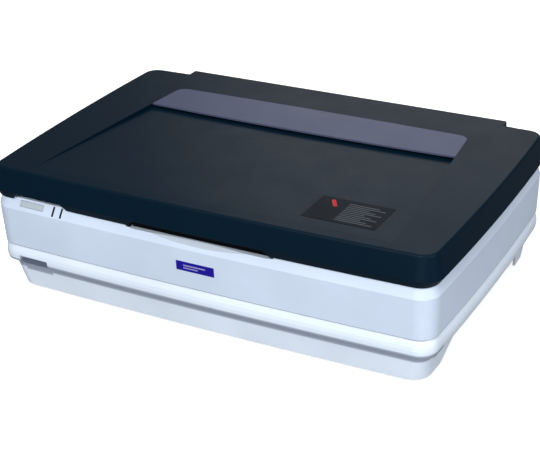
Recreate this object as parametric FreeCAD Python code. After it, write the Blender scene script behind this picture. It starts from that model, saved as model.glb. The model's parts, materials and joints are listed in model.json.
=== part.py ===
"""Large-format flatbed scanner: a white two-part housing, a charcoal lid on rising hinges, and a belt-driven
carriage that travels along X under the platen glass.

Millimetres. X runs from left to right, Y from front to rear and Z up; the rubber feet stand on z = 0 and the
origin is the centre of the rest plane. The housing and the lid share one plan outline, a rounded rectangle
whose sides bow outwards, and every outline is stated as an inset from it.
"""

import FreeCAD, Part
import math
import os
from FreeCAD import Placement, Rotation, Vector

os.makedirs("parts", exist_ok=True)

# Overall size and the plan outline that lid and housing share
WIDTH = 656.0
FRONT_Y = -229.0
LID_REAR_Y = 191.4
HEIGHT = 186.0
REAR_Y = 229.0
FRONT_BOW = 5.0
SIDE_BOW = 5.6
REAR_BOW = 5.6
CORNER_R = 28.0

# Levels, from the table upwards
SKIRT_BOTTOM_Z = 6.5
TUB_BOTTOM_Z = 37.5
SKIRT_TOP_Z = 38.5
TUB_FLOOR_Z = 41.0
GROOVE_TOP_Z = 49.0
SHOULDER_Z = 58.0
PARTING_Z = 73.0
PARTING_GAP = 0.8
BAND_Z = 129.5
BODY_TOP_Z = 146.0
TOP_PLATE = 3.0
LID_BOTTOM_Z = 144.5
LID_WIDEST_Z = 154.5
TRAY_Z = 155.0
TRAY_T = 3.0
WALL = 3.0

# The groove over the skirt runs along the front and fades out round the corners, at these distances behind it
GROOVE_FULL = 12.0
GROOVE_END = 50.0
BELLY_LOW_STEPS = 7
BELLY_HIGH_STEPS = 3
BELLY_HIGH_TURN = 45.0

# Insets of the outer faces at those levels; the housing's two sides and the lid's lower edge stand in further
HOUSING_NARROW = 3.2
SKIRT_BOTTOM_INSET = 19.0
SKIRT_TOP_INSET = 15.0
SKIRT_BOTTOM_R = 25.0
SKIRT_TOP_R = 18.0
GROOVE_INSET = 16.0
SHOULDER_INSET = 3.3
BELLY_TOP_INSET = 7.0
PARTING_INSET = 4.3
BAND_INSET = 2.0
BODY_TOP_INSET = 7.5
LID_BOTTOM_INSET = 4.0
LID_TOP_INSET = 7.9
LID_WALL = 4.0
LID_LIP_WALL = 2.3
LID_EDGE_R = 3.5

# Lid recess, accent plate, label and rear strip
RECESS_FRONT_Y = -200.0
RECESS_FRONT_X = 257.5
RECESS_REAR_X = 229.0
RECESS_DEPTH = 6.0
PLATE_SEAT_Y = 62.0
PLATE_FRONT_Y = 50.1
PLATE_REAR_Y = 126.8
PLATE_T = 2.5
PLATE_GAP = 0.3
PLATE_CORNER_R = 15.0
LABEL = (128.0, 226.0, -181.0, -117.0)
LABEL_T = 0.3
STRIP_X = (-247.0, 258.0)
STRIP_REAR_Y = 195.0
STRIP_BOTTOM_Z = 152.0
LID_CEILING = 3.8

# Cut-outs in the lid's front edge: over the control panel and at the finger grip
PANEL_CUT = (-279.0, -198.5)
PANEL_CUT_TOP_Z = 154.5
GRIP_CUT = (-95.0, 103.0)
GRIP_CUT_TOP_Z = 153.0

# Ribs under the lid that close the back of those cut-outs, and the hollow in the housing's edge under the grip
RIB_INSET = 11.0
RIB_T = 2.0
PANEL_RIB_Z = 146.7
GRIP_RIB_Z = 141.4
SCOOP_FLOOR_Z = 140.4
SCOOP_BACK_INSET = 14.5
SCOOP_END = 5.0
SCOOP_LOW_Z = 133.4
SCOOP_SLOPE = 42.0
SCOOP_END_RISE = 3.0
SCOOP_CUTTER_L = 60.0

# Platen: x0, x1, y0, y1 of the clear opening, the glass and the frame's top
OPENING = (-214.0, 223.0, -178.0, 132.0)
GLASS = (-250.0, 235.0, -190.0, 144.0)
FRAME_TOP = (-262.0, 247.0, -202.0, 156.0)
FRAME_FLANGE = 6.0
GLASS_T = 4.0
GLASS_TOP_Z = 143.5
MAT_T = 0.8
MAT_CLEARANCE = 0.3
PAD_MARGIN = 1.5

# Control panel on the band, badge and power button
PANEL_LEAN = 12.0
START_X = (-272.0, -234.3)
START_Z = (135.3, 143.1)
START_T = 6.0
START_PROUD = 0.8
LIGHT_XS = (-217.5, -204.8)
LIGHT_W = 3.0
LIGHT_Z = (131.5, 145.0)
BADGE_W = 55.0
BADGE_H = 13.0
BADGE_Z = 105.0
BADGE_T = 1.2
BADGE_SUNK = 0.5
PANEL_BOARD_INSET = 17.0
PANEL_BOARD_Z = (112.0, 138.0)
POWER_X = (-281.0, -242.0)
POWER_Z = (46.0, 56.0)
POWER_FACE_INSET = 8.0
POWER_TRAVEL = 2.5
POWER_POCKET = 15.5
POWER_POCKET_WALL = 2.5
NOTCH_X = (-284.0, -238.0)
NOTCH_Z = (36.0, 58.0)
NOTCH_INSET = 17.5
BUTTON_GAP = 0.4

# Carry grips in the skirt's sides, and the feet
GRIP_PROFILE = ((-166.0, 0.0), (-112.0, TUB_BOTTOM_Z), (108.0, TUB_BOTTOM_Z), (120.0, 0.0))
FOOT_X = 280.0
FOOT_YS = (-176.0, 140.0)
FOOT_R = 12.0
FOOT_H = 8.5
FOOT_BOSS_R = 16.0

# Rising hinges
HINGE_XS = (-185.0, 185.0)
HINGE_SIDES = ("left", "right")
PIN_Y = 208.0
PIN_Z = 160.0
PIN_R = 3.0
EAR_R = 11.0
KNUCKLE_R = 10.0
POST_W = 40.0
POST_T = 16.0
POST_BOTTOM_Z = 66.0
EAR_T = 10.0
GUIDE_W = 62.0
GUIDE_Z = (60.0, 140.0)
GUIDE_FLOOR = 3.0
SLIDE_GAP = 0.4
PIN_CLEARANCE = 0.05

# Carriage at its home position, its rod, rail, belt and drive
CARRIAGE_X = (-291.0, -203.0)
CARRIAGE_Y = (-192.0, 140.0)
CARRIAGE_Z = (58.0, 134.0)
CARRIAGE_WALL = 2.5
SCAN_X = -236.0
ROD_Y = 150.0
ROD_Z = 92.0
ROD_R = 5.0
ROD_X = (-299.0, 266.0)
BLOCK_Y = (140.0, 160.5)
BLOCK_Z = (78.0, 106.0)
BUSH_R = 8.0
BUSH_L = 14.0
RAIL_X = (-298.0, 258.0)
RAIL_Y = (-198.0, -184.0)
RAIL_TOP_Z = 56.0
SHEET = 1.5
BELT_Y = (168.0, 175.0)
BELT_R = 10.0
BELT_T = 1.5
PULLEY_R = 9.7
PULLEY_FLANGE_R = 12.0
DRIVE_X = 292.0
IDLER_X = -290.0
STUB_R = 2.5
MODULE = 0.8
GEAR_TEETH = 40
PINION_TEETH = 20
GEAR_Y = (156.0, 163.0)
MOTOR_SIDE = 42.0
MOTOR_Y = (110.0, 152.0)
BRACKET_T = 3.0

# Electronics and the rear panel
BOARD_X = (-150.0, 90.0)
BOARD_Y = (-60.0, 165.0)
BOARD_Z = 48.0
BOARD_T = 1.6
SUPPLY = (259.0, 291.0, -150.0, 30.0, 44.0, 100.0)
IO_X = (-120.0, 60.0)
IO_Z = (48.5, 69.0)
IO_Y = 181.5
SOCKET_REAR_Y = 184.0
USB_X = -95.0
FIREWIRE_XS = (-60.0, -38.0)
INLET_X = 236.0
INLET_Z = 59.0
LOCK_X = -247.0
LOCK_Z = 120.0
LOCK_SHAFT_R = 5.0

# Screws
HOUSING_SCREWS = [(side * 298.5, y) for side in (-1, 1) for y in (-140.0, -20.0, 100.0)]
LID_SCREWS = [(x, y) for x in (-270.0, 0.0, 270.0) for y in (-193.0, 150.0)]
SCREW_R = 1.5
SCREW_HEAD_R = 3.5
BOSS_R = 4.0

HALF_W = WIDTH / 2
MID_Y = (FRONT_Y + LID_REAR_Y) / 2
HALF_DEPTH = (LID_REAR_Y - FRONT_Y) / 2


def save(name, shape):
    """Write one named piece, without the seams that booleans leave between coplanar faces."""
    clean = shape.removeSplitter()
    if not clean.isValid() or clean.Volume <= 0:
        clean = shape
    clean.exportStep("parts/" + name + ".step")


def box(x0, x1, y0, y1, z0, z1):
    return Part.makeBox(x1 - x0, y1 - y0, z1 - z0, Vector(x0, y0, z0))


def rect_prism(rect, z0, z1, grow=0.0):
    x0, x1, y0, y1 = rect
    return box(x0 - grow, x1 + grow, y0 - grow, y1 + grow, z0, z1)


def prism_x(profile, x0, x1):
    """Prism along X of a (y, z) outline."""
    points = [Vector(x0, y, z) for y, z in profile]
    return Part.Face(Part.makePolygon(points + points[:1])).extrude(Vector(x1 - x0, 0, 0))


def prism_y(profile, y0, y1):
    """Prism along Y of an (x, z) outline."""
    points = [Vector(x, y0, z) for x, z in profile]
    return Part.Face(Part.makePolygon(points + points[:1])).extrude(Vector(0, y1 - y0, 0))


def rod_x(x0, x1, y, z, radius):
    return Part.makeCylinder(radius, x1 - x0, Vector(x0, y, z), Vector(1, 0, 0))


def rod_y(y0, y1, x, z, radius):
    return Part.makeCylinder(radius, y1 - y0, Vector(x, y0, z), Vector(0, 1, 0))


def rod_z(z0, z1, x, y, radius):
    return Part.makeCylinder(radius, z1 - z0, Vector(x, y, z0))


def union(shapes):
    return shapes[0].multiFuse(shapes[1:]) if len(shapes) > 1 else shapes[0]


def bow_radius(half_chord, rise):
    return (half_chord ** 2 + rise ** 2) / (2 * rise)


def corner_centre(side_circle, end_circle, sx, sy):
    """Centre of the corner arc: where two circles about the bow centres meet, in the quadrant (sx, sy)."""
    (ax, ay, ra), (bx, by, rb) = side_circle, end_circle
    dx, dy = bx - ax, by - ay
    d = math.hypot(dx, dy)
    along = (ra ** 2 - rb ** 2 + d ** 2) / (2 * d)
    across = math.sqrt(ra ** 2 - along ** 2)
    for sign in (-1, 1):
        x = ax + along * dx / d - sign * across * dy / d
        y = ay + along * dy / d + sign * across * dx / d
        if x * sx > 0 and (y - MID_Y) * sy > 0:
            return Vector(x, y, 0)
    raise ValueError("no corner in that quadrant")


def outline(inset, corner_r, z, narrow=0.0):
    """Closed wire of the bowed, round-cornered plan outline, moved in by inset, and by narrow more at its sides."""
    side_r = bow_radius(HALF_DEPTH, SIDE_BOW) - inset
    front_r = bow_radius(HALF_W, FRONT_BOW) - inset
    rear_r = bow_radius(HALF_W, REAR_BOW) - inset
    half_w = HALF_W - narrow
    side_c = half_w - inset - side_r
    ends = {-1: (FRONT_Y + inset + front_r, front_r), 1: (LID_REAR_Y - inset - rear_r, rear_r)}
    corners = []
    for sx, sy in ((-1, -1), (1, -1), (1, 1), (-1, 1)):
        end_y, end_r = ends[sy]
        side_x = sx * side_c
        centre = corner_centre((side_x, MID_Y, side_r - corner_r), (0.0, end_y, end_r - corner_r), sx, sy)
        to_side = (centre - Vector(side_x, MID_Y, 0)).normalize()
        to_end = (centre - Vector(0, end_y, 0)).normalize()
        middle = (to_side + to_end).normalize()
        arc = [centre + direction * corner_r for direction in (to_side, middle, to_end)]
        corners.append(arc if sx * sy > 0 else arc[::-1])
    tops = [
        Vector(0, FRONT_Y + inset, 0),
        Vector(half_w - inset, MID_Y, 0),
        Vector(0, LID_REAR_Y - inset, 0),
        Vector(inset - half_w, MID_Y, 0),
    ]
    edges = []
    for i, arc in enumerate(corners):
        edges.append(Part.Arc(*arc).toShape())
        edges.append(Part.Arc(arc[2], tops[i], corners[(i + 1) % 4][0]).toShape())
    wire = Part.Wire(edges)
    wire.translate(Vector(0, 0, z))
    return wire


def loft(wires):
    return Part.makeLoft(wires, True, True)


def stack(levels, narrow=0.0):
    """Solid through outlines given as (inset, z) or (inset, z, corner radius), from the bottom up."""
    wires = []
    for level in levels:
        inset, z = level[:2]
        corner_r = level[2] if len(level) > 2 else CORNER_R - inset
        wires.append(outline(inset, corner_r, z, narrow))
    return loft(wires)


def housing_stack(levels):
    return stack(levels, HOUSING_NARROW)


def front_y(x, inset):
    """Y of the bowed front face at x."""
    return FRONT_Y + inset + FRONT_BOW * (x / HALF_W) ** 2


def front_yaw(x):
    """Degrees that the bowed front face has turned about Z at x."""
    return math.degrees(math.atan(2 * FRONT_BOW * x / HALF_W ** 2))


def face_placement(x, z, inset_low, z_low, inset_high, z_high):
    """Frame on a sloping front face: local X along it, Y inwards along its normal, Z up its slope."""
    lean = math.degrees(math.atan((inset_high - inset_low) / (z_high - z_low)))
    inset = inset_low + (inset_high - inset_low) * (z - z_low) / (z_high - z_low)
    turn = Rotation(Vector(0, 0, 1), front_yaw(x)).multiply(Rotation(Vector(1, 0, 0), -lean))
    return Placement(Vector(x, front_y(x, inset), z), turn)


def band_placement(x, z):
    return face_placement(x, z, BAND_INSET, BAND_Z, BODY_TOP_INSET, BODY_TOP_Z)


def placed(shape, placement):
    moved = shape.copy()
    moved.Placement = placement.multiply(moved.Placement)
    return moved


def floor_z(y):
    """Height of the lid's sloping recess floor."""
    return HEIGHT - RECESS_DEPTH * (y - RECESS_FRONT_Y) / (PLATE_SEAT_Y - RECESS_FRONT_Y)


# Lid


def recess_plan(gap=0.0):
    """Prism of the recess outline in plan: bowed sides that draw in towards the rear, and a bowed rear edge."""
    front_x = RECESS_FRONT_X - gap
    rear_x = RECESS_REAR_X - gap
    rear_y = PLATE_REAR_Y - gap
    mid_x = (front_x + rear_x) / 2 + 1.0
    mid_y = (RECESS_FRONT_Y + rear_y) / 2
    corner_y = rear_y - 2.8
    points = [
        (Vector(front_x, RECESS_FRONT_Y, 0), Vector(mid_x, mid_y, 0), Vector(rear_x, corner_y, 0)),
        (Vector(rear_x, corner_y, 0), Vector(0, rear_y, 0), Vector(-rear_x, corner_y, 0)),
        (Vector(-rear_x, corner_y, 0), Vector(-mid_x, mid_y, 0), Vector(-front_x, RECESS_FRONT_Y, 0)),
    ]
    edges = [Part.Arc(*three).toShape() for three in points]
    edges.append(Part.makeLine(points[-1][2], points[0][0]))
    prism = Part.Face(Part.Wire(edges)).extrude(Vector(0, 0, HEIGHT + 10))
    rear_edges = []
    for edge in prism.Edges:
        centre = edge.CenterOfMass
        if abs(centre.y - corner_y) < 0.01 and abs(abs(centre.x) - rear_x) < 0.01:
            rear_edges.append(edge)
    return prism.makeFillet(PLATE_CORNER_R, rear_edges)


def recess_cut():
    """Space above the sloping floor, with a raised seat for the accent plate at its rear."""
    seat_z = HEIGHT - PLATE_T
    top = HEIGHT + 5
    profile = [
        (RECESS_FRONT_Y, HEIGHT),
        (PLATE_SEAT_Y, floor_z(PLATE_SEAT_Y)),
        (PLATE_SEAT_Y, seat_z),
        (REAR_Y, seat_z),
        (REAR_Y, top),
        (RECESS_FRONT_Y, top),
    ]
    return recess_plan().common(prism_x(profile, -HALF_W, HALF_W))


def lid_cavity():
    """Hollow under the lid's skin, with a ceiling parallel to the recess floor."""
    lip_inset = LID_BOTTOM_INSET + LID_LIP_WALL
    top_inset = LID_TOP_INSET + LID_WALL - 0.5
    inner = loft([
        outline(lip_inset, CORNER_R - lip_inset, LID_BOTTOM_Z - 1.0, HOUSING_NARROW),
        outline(LID_WALL, CORNER_R - LID_WALL, LID_WIDEST_Z),
        outline(top_inset, CORNER_R - top_inset, HEIGHT - 1.0),
    ])
    low_z = floor_z(PLATE_SEAT_Y) - LID_CEILING
    profile = [
        (FRONT_Y, LID_BOTTOM_Z - 5),
        (FRONT_Y, HEIGHT - LID_CEILING),
        (RECESS_FRONT_Y, HEIGHT - LID_CEILING),
        (PLATE_SEAT_Y, low_z),
        (REAR_Y, low_z),
        (REAR_Y, LID_BOTTOM_Z - 5),
    ]
    return inner.common(prism_x(profile, -HALF_W, HALF_W))


def lid_outer():
    outer = loft([
        outline(LID_BOTTOM_INSET, CORNER_R - LID_BOTTOM_INSET, LID_BOTTOM_Z, HOUSING_NARROW),
        outline(0.0, CORNER_R, LID_WIDEST_Z),
        outline(LID_TOP_INSET, CORNER_R - LID_TOP_INSET, HEIGHT),
    ])
    top_edges = [edge for edge in outer.Edges if edge.BoundBox.ZMin > HEIGHT - 0.01]
    return outer.makeFillet(LID_EDGE_R, top_edges)


def lid_shell():
    strip = box(*STRIP_X, LID_REAR_Y - 14, STRIP_REAR_Y, STRIP_BOTTOM_Z, HEIGHT)
    upright = [edge for edge in strip.Edges if edge.BoundBox.ZLength > 10 and edge.CenterOfMass.y > STRIP_REAR_Y - 1]
    strip = strip.makeFillet(LID_EDGE_R, upright)
    shell = lid_outer().fuse(strip).cut(lid_cavity())
    bosses = [rod_z(TRAY_Z + TRAY_T, floor_z(y) - 1.0, x, y, BOSS_R) for x, y in LID_SCREWS]
    shell = shell.fuse(bosses)
    shell = shell.cut(recess_cut())
    bores = [rod_z(TRAY_Z, TRAY_Z + 13, x, y, SCREW_R) for x, y in LID_SCREWS]
    for (x0, x1), top_z in ((PANEL_CUT, PANEL_CUT_TOP_Z), (GRIP_CUT, GRIP_CUT_TOP_Z)):
        slope = top_z - LID_BOTTOM_Z
        profile = [
            (x0 - slope / 2, LID_BOTTOM_Z - 1),
            (x0 + slope / 2, top_z),
            (x1 - slope / 2, top_z),
            (x1 + slope / 2, LID_BOTTOM_Z - 1),
        ]
        bores.append(prism_y(profile, FRONT_Y - 10, FRONT_Y + 24))
    for x in HINGE_XS:
        arm = KNUCKLE_R
        bores.append(box(x - arm, x + arm, LID_REAR_Y - 30, STRIP_REAR_Y + 1, TRAY_Z + TRAY_T, PIN_Z + 5))
    return shell.cut(bores)


def lid_accent_plate():
    edge_x = RECESS_FRONT_X
    edge_y = PLATE_FRONT_Y + 6.3
    front = Part.Arc(Vector(-edge_x, edge_y, 0), Vector(0, PLATE_FRONT_Y, 0), Vector(edge_x, edge_y, 0)).toShape()
    sides = Part.makePolygon([
        Vector(edge_x, edge_y, 0),
        Vector(edge_x, REAR_Y, 0),
        Vector(-edge_x, REAR_Y, 0),
        Vector(-edge_x, edge_y, 0),
    ])
    behind = Part.Face(Part.Wire([front] + sides.Edges)).extrude(Vector(0, 0, PLATE_T))
    behind.translate(Vector(0, 0, HEIGHT - PLATE_T))
    return recess_plan(PLATE_GAP).common(behind)


def lid_label():
    x0, x1, y0, y1 = LABEL
    profile = [(y0, floor_z(y0)), (y1, floor_z(y1)), (y1, floor_z(y1) + LABEL_T), (y0, floor_z(y0) + LABEL_T)]
    return prism_x(profile, x0, x1)


def front_rib(x_range, low_z):
    """Rib that hangs from the tray behind a cut-out and follows the bowed front."""
    top_z = TRAY_Z + TRAY_T / 2
    ring = stack([(RIB_INSET, low_z), (RIB_INSET, top_z)])
    ring = ring.cut(stack([(RIB_INSET + RIB_T, low_z - 1), (RIB_INSET + RIB_T, top_z + 1)]))
    return ring.common(box(*x_range, FRONT_Y, FRONT_Y + 40, low_z, top_z))


def lid_inner_tray():
    """Flat tray that closes the lid from below, with a rib behind each cut-out in the lid's edge."""
    inset = LID_WALL + 1.2
    tray = stack([(inset, TRAY_Z), (inset, TRAY_Z + TRAY_T)])
    tray = tray.fuse([front_rib(PANEL_CUT, PANEL_RIB_Z), front_rib(GRIP_CUT, GRIP_RIB_Z)])
    return tray.cut([rod_z(TRAY_Z - 1, TRAY_Z + TRAY_T + 1, x, y, SCREW_R) for x, y in LID_SCREWS])


def pad_rect():
    x0, x1, y0, y1 = OPENING
    return (x0 + PAD_MARGIN, x1 - PAD_MARGIN, y0 + PAD_MARGIN, y1 - PAD_MARGIN)


def document_mat():
    bottom = GLASS_TOP_Z + MAT_CLEARANCE
    return rect_prism(pad_rect(), bottom, bottom + MAT_T)


def lid_foam_pad():
    return rect_prism(pad_rect(), GLASS_TOP_Z + MAT_CLEARANCE + MAT_T, TRAY_Z)


def lid_hinge_bracket(x):
    """Plate on the tray with an arm that ends in the hinge knuckle."""
    low = TRAY_Z + TRAY_T
    half = KNUCKLE_R - 0.4
    plate = box(x - 30, x + 30, LID_REAR_Y - 65, LID_REAR_Y - 20, low, low + BRACKET_T)
    arm = box(x - half, x + half, LID_REAR_Y - 45, PIN_Y, low, low + 6.5)
    knuckle = rod_x(x - half, x + half, PIN_Y, PIN_Z, KNUCKLE_R)
    bore = rod_x(x - half - 1, x + half + 1, PIN_Y, PIN_Z, PIN_R + PIN_CLEARANCE)
    return union([plate, arm, knuckle]).cut(bore)


def lid_bumpers():
    spots = [(sx * 290.0, y) for sx in (-1, 1) for y in (-192.0, 160.0)]
    return Part.makeCompound([rod_z(BODY_TOP_Z + 0.1, TRAY_Z, x, y, BOSS_R) for x, y in spots])


def screw(x, y, head_z, head_h, shank_top):
    head = rod_z(head_z - head_h, head_z, x, y, SCREW_HEAD_R)
    shank = rod_z(head_z, shank_top, x, y, SCREW_R)
    slot = box(x - 0.5, x + 0.5, y - SCREW_HEAD_R, y + SCREW_HEAD_R, head_z - head_h, head_z - head_h + 0.8)
    return head.fuse(shank).cut(slot)


def lid_screws():
    return Part.makeCompound([screw(x, y, TRAY_Z, 2.0, TRAY_Z + 12) for x, y in LID_SCREWS])


# Rising hinges


def hinge_post(x):
    """Bar that rises in its guide, with a fork of two ears for the lid's knuckle."""
    bar = box(x - POST_W / 2, x + POST_W / 2, PIN_Y - POST_T / 2, PIN_Y + POST_T / 2, POST_BOTTOM_Z, PIN_Z)
    ears = []
    for side in (-1, 1):
        outer = x + side * POST_W / 2
        inner = outer - side * EAR_T
        ears.append(rod_x(min(outer, inner), max(outer, inner), PIN_Y, PIN_Z, EAR_R))
    gap_half = POST_W / 2 - EAR_T
    fork = box(x - gap_half, x + gap_half, PIN_Y - 20, PIN_Y + 20, PIN_Z - KNUCKLE_R - 1.0, PIN_Z + 20)
    bore = rod_x(x - POST_W, x + POST_W, PIN_Y, PIN_Z, PIN_R)
    return union([bar] + ears).cut([fork, bore])


def hinge_pin(x):
    shank = rod_x(x - POST_W / 2, x + POST_W / 2, PIN_Y, PIN_Z, PIN_R)
    heads = [rod_x(x + a, x + b, PIN_Y, PIN_Z, PIN_R + 2) for a, b in ((-22.5, -20.0), (20.0, 22.5))]
    return union([shank] + heads)


def hinge_guide(x):
    """Upright sleeve on the housing's rear in which the post rises."""
    body = box(x - GUIDE_W / 2, x + GUIDE_W / 2, LID_REAR_Y - 12, REAR_Y, *GUIDE_Z)
    outer = [edge for edge in body.Edges if edge.BoundBox.ZLength > 10 and edge.CenterOfMass.y > REAR_Y - 1]
    body = body.makeFillet(8.0, outer)
    half_w = POST_W / 2 + SLIDE_GAP
    half_t = POST_T / 2 + SLIDE_GAP
    well_z = GUIDE_Z[0] + GUIDE_FLOOR
    well = box(x - half_w, x + half_w, PIN_Y - half_t, PIN_Y + half_t, well_z, GUIDE_Z[1] + 1)
    groove = housing_stack([(PARTING_INSET, PARTING_Z - PARTING_GAP), (PARTING_INSET, PARTING_Z + PARTING_GAP)])
    return body.cut([well, tub_outer(), upper_outer(), groove])


# Housing


def belly_levels(grow=0.0, lift=0.0):
    """Side of the lower housing from the skirt's top up: it curves out to the shoulder and back to the parting."""
    levels = []
    for k in range(BELLY_LOW_STEPS, -1, -1):
        angle = math.radians(90.0 * k / BELLY_LOW_STEPS)
        inset = SHOULDER_INSET + (SKIRT_TOP_INSET - SHOULDER_INSET) * (1 - math.cos(angle))
        z = SHOULDER_Z - (SHOULDER_Z - SKIRT_TOP_Z) * math.sin(angle)
        levels.append((inset + grow, z + lift))
    top_z = PARTING_Z - PARTING_GAP / 2
    upper = math.radians(BELLY_HIGH_TURN)
    drawn_in = (BELLY_TOP_INSET - SHOULDER_INSET) / (1 - math.cos(upper))
    for k in range(1, BELLY_HIGH_STEPS + 1):
        angle = upper * k / BELLY_HIGH_STEPS
        inset = SHOULDER_INSET + drawn_in * (1 - math.cos(angle))
        z = SHOULDER_Z + (top_z - SHOULDER_Z) * math.sin(angle) / math.sin(upper)
        levels.append((inset + grow, z + lift))
    return levels


def front_groove(grow=0.0):
    """Space of the dark groove between shoulder and skirt, which gets lower round the front corners."""
    low = SKIRT_TOP_Z - grow
    high = GROOVE_TOP_Z + grow
    profile = [
        (FRONT_Y - 10, low),
        (FRONT_Y + GROOVE_END + grow, low),
        (FRONT_Y + GROOVE_END + grow, SKIRT_TOP_Z + grow),
        (FRONT_Y + GROOVE_FULL + grow, high),
        (FRONT_Y - 10, high),
    ]
    core = housing_stack([(GROOVE_INSET + grow, low - 1), (GROOVE_INSET + grow, high + 1)])
    return prism_x(profile, -HALF_W, HALF_W).cut(core)


def tub_outer():
    """Lower housing without its skirt."""
    ledge = housing_stack([(SKIRT_TOP_INSET, z, SKIRT_TOP_R) for z in (TUB_BOTTOM_Z, SKIRT_TOP_Z)])
    return ledge.fuse(housing_stack(belly_levels())).cut(front_groove())


def tub_cavity():
    over = PARTING_Z + 20
    lift = TUB_FLOOR_Z - SKIRT_TOP_Z
    belly = housing_stack(belly_levels(WALL, lift) + [(BELLY_TOP_INSET + WALL, over)])
    return belly.cut(front_groove(WALL))


def skirt():
    outer = housing_stack([
        (SKIRT_BOTTOM_INSET, SKIRT_BOTTOM_Z, SKIRT_BOTTOM_R),
        (SKIRT_TOP_INSET, TUB_BOTTOM_Z, SKIRT_TOP_R),
    ])
    inner = housing_stack([
        (SKIRT_BOTTOM_INSET + WALL, SKIRT_BOTTOM_Z - 0.1, SKIRT_BOTTOM_R - WALL),
        (SKIRT_TOP_INSET + WALL, TUB_BOTTOM_Z, SKIRT_TOP_R - WALL),
    ])
    return outer.cut(inner)


def tongue():
    """Rim of the lower housing that stands inside the upper one behind the parting groove."""
    top = PARTING_Z + 7
    outer = housing_stack([(PARTING_INSET + WALL + 0.4, PARTING_Z - 9), (PARTING_INSET + WALL + 0.4, top)])
    inner = housing_stack([(PARTING_INSET + WALL + 2.2, PARTING_Z - 10), (PARTING_INSET + WALL + 2.2, top + 1)])
    seat = housing_stack([(BELLY_TOP_INSET - 0.5, PARTING_Z - 9), (BELLY_TOP_INSET - 0.5, PARTING_Z - 4)])
    return outer.fuse(seat).cut(inner)


def lower_housing():
    outer = tub_outer()
    power_x = sum(POWER_X) / 2
    power_y = front_y(power_x, POWER_FACE_INSET)
    pocket_rear = power_y + POWER_POCKET + POWER_POCKET_WALL
    pocket_block = box(NOTCH_X[0] - 4, NOTCH_X[1] + 4, FRONT_Y, pocket_rear, TUB_BOTTOM_Z, NOTCH_Z[1] + 4)
    tub = outer.cut(tub_cavity()).fuse([pocket_block.common(outer), tongue(), skirt()])
    bosses = []
    for x in (-FOOT_X, FOOT_X):
        for y in FOOT_YS:
            bosses.append(rod_z(SKIRT_BOTTOM_Z, TUB_BOTTOM_Z, x, y, FOOT_BOSS_R))
    standoffs = [rod_z(TUB_BOTTOM_Z, BOARD_Z, x, y, 4.0) for x in (-140.0, 80.0) for y in (-50.0, 150.0)]
    tub = tub.fuse(bosses + standoffs)
    cuts = [prism_x(GRIP_PROFILE, side * HALF_W, side * (FOOT_X + 10)) for side in (-1, 1)]
    cuts.append(box(*NOTCH_X, FRONT_Y - 10, front_y(power_x, NOTCH_INSET), *NOTCH_Z))
    cuts.append(box(POWER_X[0] - BUTTON_GAP, POWER_X[1] + BUTTON_GAP, FRONT_Y, power_y + POWER_POCKET,
                    POWER_Z[0] - BUTTON_GAP, POWER_Z[1] + BUTTON_GAP))
    for x in (-FOOT_X, FOOT_X):
        for y in FOOT_YS:
            cuts.append(rod_z(SKIRT_BOTTOM_Z, FOOT_H, x, y, FOOT_R))
    cuts += [rod_z(TUB_BOTTOM_Z - 1, TUB_FLOOR_Z + 1, x, y, SCREW_R) for x, y in HOUSING_SCREWS]
    cuts.append(box(IO_X[0] + 6, IO_X[1] - 6, IO_Y, REAR_Y, IO_Z[0] + 1.5, IO_Z[1] - 2))
    cuts.append(box(IO_X[0] - 2, IO_X[1] + 2, IO_Y - 6, IO_Y + 1.5, IO_Z[0] - 0.5, IO_Z[1] + 0.5))
    cuts.append(box(INLET_X - 16, INLET_X + 16, IO_Y - 14, REAR_Y, INLET_Z - 11, INLET_Z + 11))
    return tub.cut(cuts)


def upper_outer():
    return housing_stack([
        (PARTING_INSET, PARTING_Z + PARTING_GAP / 2),
        (BAND_INSET, BAND_Z),
        (BODY_TOP_INSET, BODY_TOP_Z),
    ])


def upper_cavity():
    return housing_stack([
        (PARTING_INSET + WALL, PARTING_Z - 1),
        (BAND_INSET + WALL, BAND_Z),
        (BODY_TOP_INSET + WALL, BODY_TOP_Z - TOP_PLATE),
    ])


def leaning_block(width, height, y0, y1):
    """Block with a parallelogram face: its ends lean, tops towards +X, like everything on the control panel."""
    shift = height / 2 * math.tan(math.radians(PANEL_LEAN))
    half_w = width / 2
    half_h = height / 2
    corners = [(-half_w - shift, -half_h), (half_w - shift, -half_h), (half_w + shift, half_h), (shift - half_w, half_h)]
    return prism_y(corners, y0, y1)


def start_button_shape(grow=0.0, depth=START_T, proud=START_PROUD):
    width = START_X[1] - START_X[0]
    middle_x = sum(START_X) / 2
    middle_z = sum(START_Z) / 2
    lean = math.atan((BODY_TOP_INSET - BAND_INSET) / (BODY_TOP_Z - BAND_Z))
    length = (START_Z[1] - START_Z[0]) / math.cos(lean)
    block = leaning_block(width + 2.1 * grow, length + 2 * grow, -proud, depth)
    if not grow:
        block = block.makeFillet(0.6, [edge for edge in block.Edges if edge.CenterOfMass.y < 0.1])
    return placed(block, band_placement(middle_x, middle_z))


def light_shape(x):
    middle_z = sum(LIGHT_Z) / 2
    length = (LIGHT_Z[1] - LIGHT_Z[0]) * 1.05
    return placed(leaning_block(LIGHT_W, length, -0.1, WALL + 2), band_placement(x, middle_z))


def badge_shape():
    block = box(-BADGE_W / 2, BADGE_W / 2, BADGE_SUNK - BADGE_T, BADGE_SUNK, -BADGE_H / 2, BADGE_H / 2)
    return placed(block, face_placement(0.0, BADGE_Z, PARTING_INSET, PARTING_Z, BAND_INSET, BAND_Z))


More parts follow.
